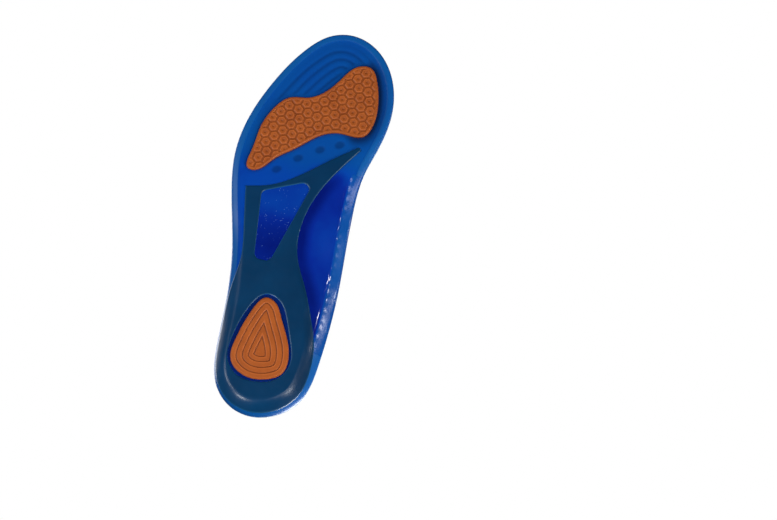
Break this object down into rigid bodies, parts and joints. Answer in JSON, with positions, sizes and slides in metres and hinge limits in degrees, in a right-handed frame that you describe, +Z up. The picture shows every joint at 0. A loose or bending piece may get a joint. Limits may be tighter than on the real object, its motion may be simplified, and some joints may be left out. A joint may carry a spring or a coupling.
{
  "type": "cushioned insole",
  "caption": "Full-length cushioned gel insole with a fabric top, raised heel cup and arch, firm heel shell, and soft heel and forefoot pads underneath.",
  "frame": {"origin": "under the middle of the insole's length and width, on the surface it lies on", "axes": "+Z up towards the foot, +Y towards the toes, +X towards the little toe"},
  "size_m": [0.0988, 0.275, 0.0209],
  "materials": {
    "cover_fabric": "brushed blue-grey velour",
    "bonding_film": "thin clear film",
    "blue_gel": "clear blue gel, glossy",
    "teal_shell": "satin dark teal",
    "orange_pad": "matt orange-brown rubber",
    "grey_print": "flat light grey ink"
  },
  "bodies": {
    "rearfoot": {"rear_cover": "cover_fabric", "rear_film": "bonding_film", "rear_gel": "blue_gel", "support_shell": "teal_shell", "heel_pad": "orange_pad", "heel_print": "grey_print"},
    "forefoot": {"front_cover": "cover_fabric", "front_film": "bonding_film", "front_gel": "blue_gel", "forefoot_pad": "orange_pad"}
  },
  "joints": [
    {"name": "forefoot_flex", "type": "hinge", "parent": "rearfoot", "child": "forefoot", "pos_m": [0, 0.0421, 0.0075], "axis": [0.866, -0.5, 0], "range_deg": [0, 45], "stiffness_Nm_per_rad": 0.06}
  ]
}
